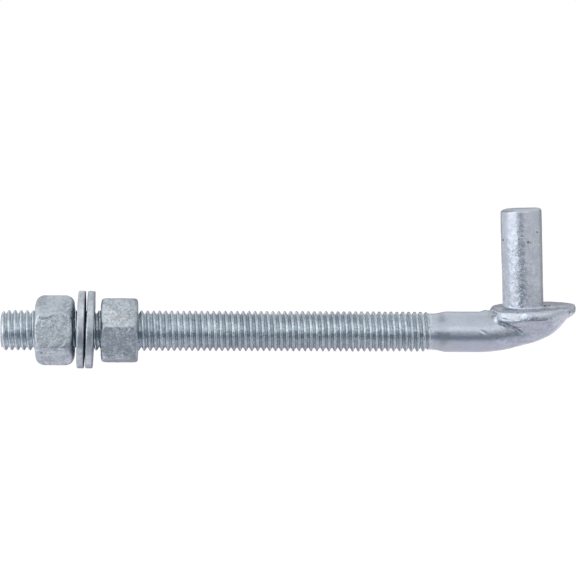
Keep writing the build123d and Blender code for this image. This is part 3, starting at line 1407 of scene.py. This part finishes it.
class Wiring:
    """Adds nodes to one shader tree, each joined to what feeds it."""

    def __init__(self, tree: Tree) -> None:
        """Takes the tree that the nodes go into."""
        self.tree = tree

    def feed(self, socket: Socket, feed: Feed) -> None:
        """Joins an input to another node's output, or sets its number or colour.

        Args:
            socket: The input.
            feed: The output, number or colour.
        """
        if isinstance(feed, Socket):
            self.tree.links.new(feed, socket)
        else:
            socket.default_value = (*feed, 1.0) if isinstance(feed, tuple) else feed

    def node(self, kind: str, feeds: Mapping[str, Feed], **options: object) -> bpy.types.Node:
        """Adds a node.

        Args:
            kind: Its type, without ShaderNode in front.
            feeds: What feeds its named inputs.
            options: Its own settings.

        Returns:
            The node.
        """
        node = self.tree.nodes.new("ShaderNode" + kind)
        for label, value in options.items():
            setattr(node, label, value)
        for label, feed in feeds.items():
            self.feed(node.inputs[label], feed)
        return node

    def math(self, operation: str, *operands: Feed) -> Socket:
        """Adds a math node on sockets or numbers and returns its result.

        Args:
            operation: Blender's name of the sum.
            operands: Sockets or numbers.

        Returns:
            The result.
        """
        node = self.node("Math", {}, operation=operation)
        for socket, operand in zip(node.inputs, operands):
            self.feed(socket, operand)
        return node.outputs[0]

    def smooth_range(self, value: Feed, span: Span) -> Socket:
        """Stretches a value so that the span becomes 0 to 1, smoothly."""
        feeds = {"Value": value, "From Min": span[0], "From Max": span[1]}
        return self.node("MapRange", feeds, interpolation_type="SMOOTHSTEP").outputs["Result"]

    def grain(self, coordinates: Socket, grain: Grain) -> Socket:
        """Adds the pattern of one grain size and returns its value."""
        feeds = {"Vector": coordinates, "Scale": grain.scale, "Detail": grain.detail}
        return self.node("TexNoise", feeds).outputs["Fac"]

    def mask(self, coordinates: Socket, grain: Grain) -> Socket:
        """Adds the pattern of one grain size and returns where it is high."""
        return self.smooth_range(self.grain(coordinates, grain), grain.span)

    def colour_mix(self, share: Feed, first: Feed, second: Feed) -> Socket:
        """Mixes two colours, which are sockets or RGB values, and returns the result.

        Args:
            share: How much of the second colour there is.
            first: The first colour.
            second: The second colour.

        Returns:
            The mixed colour.
        """
        node = self.node("Mix", {"Factor": share}, data_type="RGBA")
        colours = (socket for socket in node.inputs if socket.type == "RGBA")
        for socket, colour in zip(colours, (first, second)):
            self.feed(socket, colour)
        return next(socket for socket in node.outputs if socket.type == "RGBA")

    def shader_mix(self, share: Feed, first: Socket, second: Socket, target: str) -> None:
        """Mixes two shaders into the named output node's surface.

        Args:
            share: How much of the second shader there is.
            first: The first shader.
            second: The second shader.
            target: Name of the output node.
        """
        node = self.node("MixShader", {"Fac": share})
        for number, shader in enumerate((first, second), start=1):
            self.feed(node.inputs[number], shader)
        self.feed(self.tree.nodes[target].inputs["Surface"], node.outputs["Shader"])

    def group(self, tree: Tree, **feeds: Feed) -> bpy.types.Node:
        """Places a node group."""
        return self.node("Group", feeds, node_tree=tree)

    def white_rays(self) -> Socket:
        """Tells rays that see the background: from the camera, or by gloss or glass.

        Returns:
            1 for such rays and 0 for others.
        """
        path = self.node("LightPath", {}).outputs
        seen = self.math("MAXIMUM", path["Is Camera Ray"], path["Is Glossy Ray"])
        return self.math("MAXIMUM", seen, path["Is Transmission Ray"])


def new_material(name: str) -> tuple[bpy.types.Material, Wiring]:
    """Starts a material made of nodes.

    Args:
        name: The material's name.

    Returns:
        The material and the wiring of its nodes.
    """
    material = bpy.data.materials.new(name)
    material.use_nodes = True
    return material, Wiring(material.node_tree)


class ZincNodes:
    """Shader node groups that every zinc finish shares."""

    def __init__(self) -> None:
        """Builds the groups once."""
        self.mottle = self.build_mottle()
        self.relief = self.build_relief()
        self.calm = self.build_calm()

    def start(
        self, name: str, inputs: Mapping[str, float], outputs: Sequence[str]
    ) -> tuple[Wiring, Socket]:
        """Starts a shader node group that takes and gives numbers.

        Args:
            name: The group's name.
            inputs: Name and default of each number that it takes.
            outputs: Name of each number that it gives.

        Returns:
            The group's wiring, and the coordinates of the surface on its object.
        """
        tree = bpy.data.node_groups.new(name, "ShaderNodeTree")
        for label, default in inputs.items():
            socket = tree.interface.new_socket(label, in_out="INPUT", socket_type="NodeSocketFloat")
            socket.default_value = default
        for label in outputs:
            tree.interface.new_socket(label, in_out="OUTPUT", socket_type="NodeSocketFloat")
        tree.nodes.new("NodeGroupInput").name = "in"
        tree.nodes.new("NodeGroupOutput").name = "out"
        wiring = Wiring(tree)
        return wiring, wiring.node("TexCoord", {}).outputs["Object"]

    def build_mottle(self) -> Tree:
        """Where the zinc is duller, where it has dark specks and where it is stained.

        Returns:
            The node group.
        """
        wiring, place = self.start("zinc_mottle", {"Rough": 1.0}, ("Dull", "Speck", "Stain"))
        rough = wiring.tree.nodes["in"].outputs["Rough"]
        outputs = wiring.tree.nodes["out"].inputs
        large, small, fine = (
            wiring.math("MULTIPLY", wiring.grain(place, grain), grain.share) for grain in DULL_GRAINS
        )
        dull = wiring.math("ADD", wiring.math("ADD", large, small), fine)
        spread = wiring.math("SUBTRACT", wiring.smooth_range(dull, DULL_SPAN), 0.5)
        spread = wiring.math("MULTIPLY", spread, rough)
        wiring.feed(outputs["Dull"], wiring.math("ADD", spread, 0.5))
        wiring.feed(outputs["Speck"], wiring.mask(place, SPECK_GRAIN))
        wiring.feed(outputs["Stain"], wiring.mask(place, STAIN_GRAIN))
        return wiring.tree

    def build_relief(self) -> Tree:
        """Bumps of frozen zinc.

        Returns:
            The node group.
        """
        heights = {"Hammer": 0.5, "Grain": 0.5, "Pits": 0.2, "Rough": 1.0}
        wiring, place = self.start("zinc_relief", heights, ("Height",))
        inputs = wiring.tree.nodes["in"].outputs
        fine_height = wiring.math("MULTIPLY", inputs["Grain"], FINE_GRAIN.share)
        hammer = wiring.math("MULTIPLY", wiring.grain(place, HAMMER_GRAIN), inputs["Hammer"])
        fine = wiring.math("MULTIPLY", wiring.grain(place, FINE_GRAIN), fine_height)
        pits = wiring.math("MULTIPLY", wiring.mask(place, CRUST_GRAIN), inputs["Pits"])
        height = wiring.math("ADD", wiring.math("ADD", hammer, fine), pits)
        height = wiring.math("MULTIPLY", height, inputs["Rough"])
        wiring.feed(wiring.tree.nodes["out"].inputs["Height"], height)
        return wiring.tree

    def build_calm(self) -> Tree:
        """How rough the forging is: less along its shank and at the pin's top.

        Returns:
            The node group.
        """
        wiring, place = self.start("zinc_calm", {}, ("Rough",))
        split = wiring.node("SeparateXYZ", {"Vector": place}).outputs
        along = wiring.smooth_range(split["X"], ROUGH_ALONG)
        down = wiring.smooth_range(split["Z"], ROUGH_DOWN)
        rough = wiring.math("MULTIPLY", wiring.math("MULTIPLY", along, 1 - LEAST_ROUGH), down)
        wiring.feed(wiring.tree.nodes["out"].inputs["Rough"], wiring.math("ADD", rough, LEAST_ROUGH))
        return wiring.tree

    def material(self, finish: ZincFinish) -> bpy.types.Material:
        """Makes the material of one finish.

        Args:
            finish: Its colours, roughness and heights.

        Returns:
            The material.
        """
        material, wiring = new_material(finish.name)
        inputs = wiring.tree.nodes["Principled BSDF"].inputs
        inputs["Metallic"].default_value = 1.0
        calm = {"Rough": wiring.group(self.calm).outputs["Rough"]} if finish.smooth_shank else {}
        mottle = wiring.group(self.mottle, **calm).outputs
        heights = {"Hammer": finish.hammer, "Grain": finish.grain, "Pits": finish.pits}
        relief = wiring.group(self.relief, **heights, **calm)
        colour = wiring.colour_mix(mottle["Dull"], finish.light, finish.dark)
        stain = wiring.math("MULTIPLY", mottle["Stain"], finish.warmth)
        colour = wiring.colour_mix(stain, colour, STAIN_COLOUR)
        speck = wiring.math("MULTIPLY", mottle["Speck"], finish.specks)
        wiring.feed(inputs["Base Color"], wiring.colour_mix(speck, colour, SPECK_COLOUR))
        clean, dull = finish.roughness
        rough = wiring.node("MapRange", {"Value": mottle["Dull"], "To Min": clean, "To Max": dull})
        wiring.feed(inputs["Roughness"], rough.outputs["Result"])
        bump = {"Strength": BUMP_STRENGTH, "Distance": BUMP_DISTANCE, "Height": relief.outputs["Height"]}
        wiring.feed(inputs["Normal"], wiring.node("Bump", bump).outputs["Normal"])
        return material


@dataclass(frozen=True)
class Card:
    """A glowing card that only reflections see, which paints a reflection on the zinc: its name, its four
    corners and its colour.
    """

    name: str
    corners: tuple[Triple, ...]
    colour: Triple

    @classmethod
    def upright(cls, name: str, y: float, x: Span, z: Span, colour: Triple) -> "Card":
        """A card that faces the front, between two values of X and of Z."""
        return cls(name, ((x[0], y, z[0]), (x[1], y, z[0]), (x[1], y, z[1]), (x[0], y, z[1])), colour)

    @classmethod
    def level(cls, name: str, z: float, x: Span, y: Span, colour: Triple) -> "Card":
        """A level card, between two values of X and of Y."""
        return cls(name, ((x[0], y[0], z), (x[1], y[0], z), (x[1], y[1], z), (x[0], y[1], z)), colour)


@dataclass(frozen=True)
class Lamp:
    """A rectangular soft lamp: its name, place, width and height, and power in watts."""

    name: str
    place: Triple
    size: Span
    watts: float


# Painted reflections: the dark cards paint the dark bands and strips that the zinc reflects, the light
# ones paint reflected light, and nut_card glows brighter than white to paint a highlight on the inner
# nut's top faces.
CARDS = (
    Card.upright("low_card", -140.0, (-290.0, 130.0), (-148.0, -38.0), (0.25, 0.29, 0.33)),
    Card.upright("seat_card", 300.0, (-148.0, 260.0), (-6.0, 150.0), (0.36, 0.35, 0.36)),
    Card.upright("warm_card", -500.0, (70.0, 440.0), (-150.0, 120.0), (0.85, 0.82, 0.81)),
    Card.level("nut_card", 52.0, (-168.0, -147.0), (-65.0, -12.0), (1.7, 1.63, 1.56)),
    Card.level("heel_card", -139.0, (-45.0, 140.0), (-138.0, 180.0), (0.86, 0.82, 0.87)),
    Card.upright("front_card", -500.0, (-330.0, 30.0), (-150.0, 40.0), (0.19, 0.21, 0.24)),
    Card(
        "right_card",
        ((450, -450, -150), (450, 150, -150), (450, 150, 200), (450, -450, 200)),
        (0.88, 0.86, 0.84),
    ),
    Card(
        "far_card",
        ((450, 160, -150), (300, 600, -150), (300, 600, 200), (450, 160, 200)),
        (0.5, 0.49, 0.49),
    ),
    Card.level("under_card", -140.0, (-150.0, -60.0), (-138.0, 100.0), (0.46, 0.48, 0.52)),
    Card(
        "back_card",
        ((-205, 90, -139), (-45, 90, -139), (-45, 200, -20), (-205, 200, -20)),
        (0.45, 0.42, 0.46),
    ),
    Card.level("over_card", 110.0, (-148.0, -42.0), (-60.0, 300.0), (0.55, 0.56, 0.58)),
)
LAMPS = (
    Lamp("left_lamp", (-750.0, -350.0, 190.0), (1100.0, 700.0), 1.9),
    Lamp("right_lamp", (150.0, -650.0, 250.0), (500.0, 300.0), 0.2),
)


@dataclass
class Studio:
    """Floor, backdrop light, soft lamps and the camera at the photo's view.

    Attributes:
        camera_place: The camera's place in millimetres.
        camera_yaw: Turn to the right of +Y, in degrees.
        camera_pitch: Turn upwards.
        camera_roll: Turn about the line of sight.
        lens: Focal length on the sensor's width.
        sensor: Width of the sensor.
        clip: Nearest and farthest that the camera sees, in metres.
        ambient: Colour of the light from all round.
        ambient_strength: Its strength.
        floor_height: Height of the floor.
        floor_reach: Half the floor's side.
        floor_colour: Colour of the floor.
        floor_roughness: Roughness of the floor.
        glow_colour: Colour of the white that the background rays see on the floor.
        glow_strength: Its strength.
        glow_share: Its share, where the rest keeps the shadow.
        cards: The cards that reflections see.
        lamps: The lamps.
    """

    camera_place: Triple = (-134.214, -688.449, 69.076)
    camera_yaw: float = 3.518
    camera_pitch: float = -4.858
    camera_roll: float = -1.874
    lens: float = 111.57
    sensor: float = 36.0
    clip: Span = (0.05, 20.0)
    ambient: Triple = (0.93, 0.96, 1.0)
    ambient_strength: float = 0.8
    floor_height: float = -150.0
    floor_reach: float = 3000.0
    floor_colour: Triple = (0.9, 0.9, 0.9)
    floor_roughness: float = 0.9
    glow_colour: Triple = (1.0, 0.97, 1.0)
    glow_strength: float = 1.18
    glow_share: float = 0.75
    cards: tuple[Card, ...] = CARDS
    lamps: tuple[Lamp, ...] = LAMPS

    def camera(self) -> None:
        """Places the camera."""
        data = bpy.data.cameras.new("camera")
        data.lens = self.lens
        data.sensor_width = self.sensor
        data.clip_start, data.clip_end = self.clip
        camera = bpy.data.objects.new("camera", data)
        turn = (
            Matrix.Rotation(-math.radians(self.camera_yaw), 4, "Z")
            @ Matrix.Rotation(math.radians(90 + self.camera_pitch), 4, "X")
            @ Matrix.Rotation(math.radians(self.camera_roll), 4, "Z")
        )
        camera.matrix_world = Matrix.Translation(Vector(self.camera_place) * METRES_PER_MM) @ turn
        bpy.context.scene.collection.objects.link(camera)
        bpy.context.scene.camera = camera

    def world(self) -> None:
        """White to the camera and in reflections, plain light for the rest."""
        world = bpy.data.worlds.new("studio")
        bpy.context.scene.world = world
        world.use_nodes = True
        wiring = Wiring(world.node_tree)
        light = wiring.tree.nodes["Background"]
        wiring.feed(light.inputs["Color"], self.ambient)
        wiring.feed(light.inputs["Strength"], self.ambient_strength)
        white = wiring.node("Background", {"Strength": 1.0, "Color": (1.0, 1.0, 1.0)})
        shaders = (node.outputs["Background"] for node in (light, white))
        wiring.shader_mix(wiring.white_rays(), *shaders, "World Output")

    def floor(self) -> None:
        """A wide pale floor that shows white and keeps a soft shadow."""
        size = self.floor_reach
        sides = ((-size, -size), (size, -size), (size, size), (-size, size))
        corners = np.array([(*side, self.floor_height) for side in sides])
        floor = mesh_piece("floor", corners, np.array([[0, 1, 2, 3]]))
        material, wiring = new_material("pale_floor")
        shader = wiring.tree.nodes["Principled BSDF"]
        wiring.feed(shader.inputs["Base Color"], self.floor_colour)
        wiring.feed(shader.inputs["Roughness"], self.floor_roughness)
        glow = wiring.node("Emission", {"Strength": self.glow_strength, "Color": self.glow_colour})
        share = wiring.math("MULTIPLY", wiring.white_rays(), self.glow_share)
        wiring.shader_mix(share, shader.outputs["BSDF"], glow.outputs["Emission"], "Material Output")
        floor.data.materials.append(material)

    def set_up_card(self, card: Card) -> None:
        """Sets up a card that only reflections see.

        Args:
            card: The card.
        """
        sheet = mesh_piece(card.name, np.array(card.corners), np.array([[0, 1, 2, 3]]))
        material, wiring = new_material(card.name)
        glow = wiring.node("Emission", {"Color": card.colour})
        wiring.feed(wiring.tree.nodes["Material Output"].inputs["Surface"], glow.outputs["Emission"])
        sheet.data.materials.append(material)
        for rays in ("camera", "diffuse", "shadow", "transmission"):
            setattr(sheet, "visible_" + rays, False)

    def hang_lamp(self, lamp: Lamp) -> None:
        """Hangs a lamp that points at the object's middle.

        Args:
            lamp: The lamp.
        """
        data = bpy.data.lights.new(lamp.name, "AREA")
        data.shape = "RECTANGLE"
        data.size, data.size_y = (side * METRES_PER_MM for side in lamp.size)
        data.energy = lamp.watts
        light = bpy.data.objects.new(lamp.name, data)
        start = Vector(lamp.place) * METRES_PER_MM
        towards = (CAD_BOX[0] + CAD_BOX[1]) / 2 - start
        turn = towards.to_track_quat("-Z", "Y").to_matrix().to_4x4()
        light.matrix_world = Matrix.Translation(start) @ turn
        light.visible_camera = False
        bpy.context.scene.collection.objects.link(light)

    def build(self) -> None:
        """Sets the whole studio up."""
        self.camera()
        self.world()
        self.floor()
        for card in self.cards:
            self.set_up_card(card)
        for lamp in self.lamps:
            self.hang_lamp(lamp)
        log.info("studio: %d cards, %d lamps", len(self.cards), len(self.lamps))


def bolt_pieces(mounts: Mapping[str, dict]) -> tuple[Piece, ...]:
    """The bolt, its two nuts and its two washers, from the outside in.

    Args:
        mounts: The record's mounts by name.

    Returns:
        The pieces, ready to be built.
    """
    line = ShankLine.from_mount(mounts["post_shank"])
    thread = ThreadForm()
    low, high = (np.array(corner) / METRES_PER_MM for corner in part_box("j_bolt"))
    forging = Forging(line=line, pin_radius=mounts["hinge_pin"]["dims"]["r_mm"], low=low, high=high)
    return (
        BoltPiece(line=line, thread=ThreadedShank(line, thread), forging=forging),
        Nut(
            line=line, name="outer_hex_nut", node="outer_nut", body="outer_nut_body", thread=thread,
            place=-189.7, thickness=14.6, turn=24.5, face_diameter=20.8, edge_depth=3.7,
            details=NUT_DETAILS,
        ),
        Nut(
            line=line, name="inner_hex_nut", node="inner_nut", body="inner_nut_body", thread=thread,
            place=-164.7, thickness=14.1, turn=48.0, face_diameter=21.4, edge_depth=2.3, seed=24,
        ),
        Washer(
            line=line, name="outer_flat_washer", node="outer_washer", body="outer_washer_body",
            place=-173.8, lean=1.3, swing=1.0, mate=1,
        ),
        Washer(
            line=line, name="inner_flat_washer", node="inner_washer", body="inner_washer_body",
            place=-170.3, lean=2.0, swing=1.1, mate=-1, seed=44,
        ),
    )


def main() -> None:
    """Builds the pieces, dresses them and sets up the studio."""
    logging.basicConfig(level=logging.INFO, format="%(message)s")
    bpy.context.scene.view_settings.view_transform = "Standard"
    zinc = ZincNodes()
    materials = {coat: zinc.material(finish) for coat, finish in FINISHES.items()}
    for piece in bolt_pieces({mount["name"]: mount for mount in frame["record"]["mounts"]}):
        piece.dress(materials)
    Studio().build()


if __name__ == "__main__":
    main()
